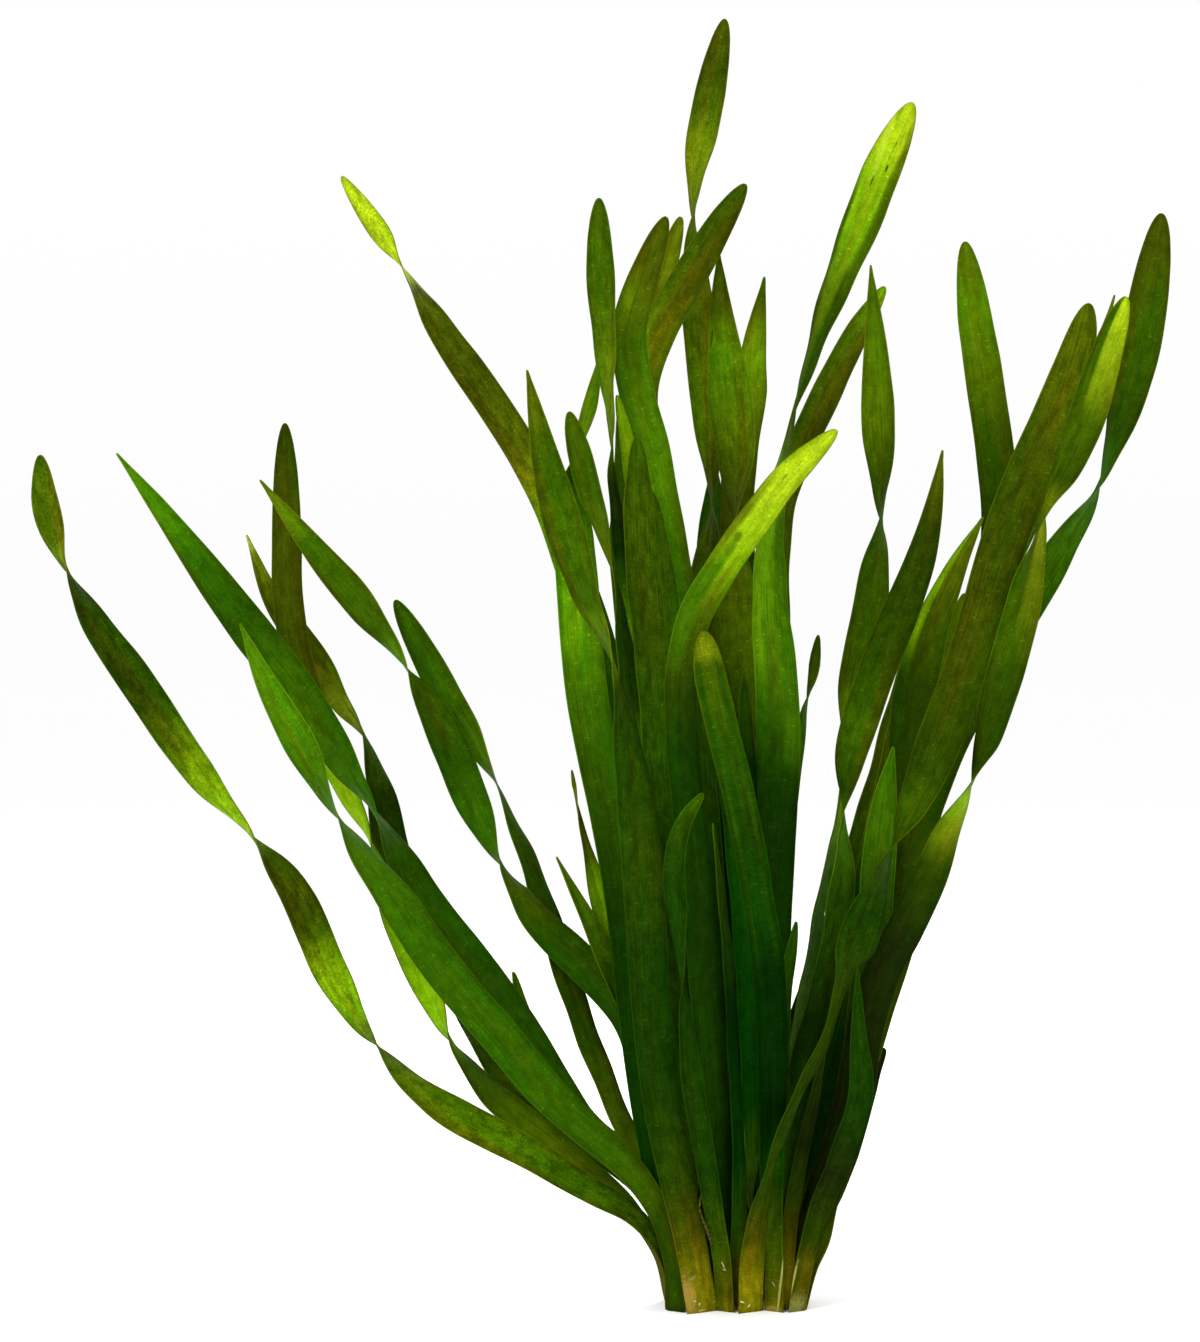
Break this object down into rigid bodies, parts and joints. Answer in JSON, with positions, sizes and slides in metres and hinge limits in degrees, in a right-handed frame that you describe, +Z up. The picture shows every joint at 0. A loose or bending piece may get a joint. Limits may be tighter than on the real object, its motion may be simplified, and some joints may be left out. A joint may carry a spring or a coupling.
{
  "type": "aquarium plant clump",
  "caption": "Upright clump of an aquarium plant with long ribbon leaves, many of them twisted, fanning out from a short crown that is cut off flat.",
  "frame": {"origin": "middle of the flat cut under the crown, where the clump rests", "axes": "+Z up along the leaves, -Y towards the side the picture shows, +X to the right in the picture"},
  "size_m": [0.3292, 0.1643, 0.3951],
  "materials": {
    "leaf_olive": "satin, slightly wet",
    "leaf_brown_olive": "satin, slightly wet",
    "leaf_deep_green": "satin, slightly wet",
    "leaf_bright_green": "satin, slightly wet",
    "leaf_yellow_green": "satin, slightly wet",
    "crown_cream": "satin, fleshy"
  },
  "bodies": {
    "root": {"crown": "crown_cream", "leaf_front_left_1": "leaf_bright_green", "leaf_front_left_2": "leaf_olive", "leaf_front_left_3": "leaf_deep_green", "leaf_front_left_4": "leaf_deep_green", "leaf_front_left_5": "leaf_olive", "leaf_front_left_6": "leaf_brown_olive", "leaf_front_left_7": "leaf_yellow_green", "leaf_front_left_8": "leaf_bright_green", "leaf_front_left_9": "leaf_olive", "leaf_front_middle_1": "leaf_olive", "leaf_front_middle_2": "leaf_olive", "leaf_front_middle_3": "leaf_bright_green", "leaf_front_middle_4": "leaf_bright_green", "leaf_front_middle_5": "leaf_olive", "leaf_front_middle_6": "leaf_yellow_green", "leaf_front_middle_7": "leaf_deep_green", "leaf_front_middle_8": "leaf_yellow_green", "leaf_front_middle_9": "leaf_yellow_green", "leaf_front_right_1": "leaf_bright_green", "leaf_front_right_2": "leaf_olive", "leaf_front_right_3": "leaf_yellow_green", "leaf_front_right_4": "leaf_deep_green", "leaf_front_right_5": "leaf_bright_green", "leaf_front_right_6": "leaf_yellow_green", "leaf_front_right_7": "leaf_yellow_green", "leaf_front_right_8": "leaf_olive", "leaf_front_right_9": "leaf_deep_green", "leaf_back_left_1": "leaf_brown_olive", "leaf_back_left_2": "leaf_deep_green", "leaf_back_left_3": "leaf_olive", "leaf_back_left_4": "leaf_deep_green", "leaf_back_left_5": "leaf_yellow_green", "leaf_back_left_6": "leaf_olive", "leaf_back_left_7": "leaf_yellow_green", "leaf_back_left_8": "leaf_deep_green", "leaf_back_left_9": "leaf_deep_green", "leaf_back_middle_1": "leaf_deep_green", "leaf_back_middle_2": "leaf_bright_green", "leaf_back_middle_3": "leaf_yellow_green", "leaf_back_middle_4": "leaf_olive", "leaf_back_middle_5": "leaf_olive", "leaf_back_middle_6": "leaf_brown_olive", "leaf_back_middle_7": "leaf_olive", "leaf_back_middle_8": "leaf_deep_green", "leaf_back_middle_9": "leaf_bright_green", "leaf_back_right_1": "leaf_deep_green", "leaf_back_right_2": "leaf_bright_green", "leaf_back_right_3": "leaf_brown_olive", "leaf_back_right_4": "leaf_yellow_green", "leaf_back_right_5": "leaf_olive", "leaf_back_right_6": "leaf_brown_olive", "leaf_back_right_7": "leaf_olive", "leaf_back_right_8": "leaf_bright_green", "leaf_back_right_9": "leaf_bright_green"}
  },
  "joints": []
}
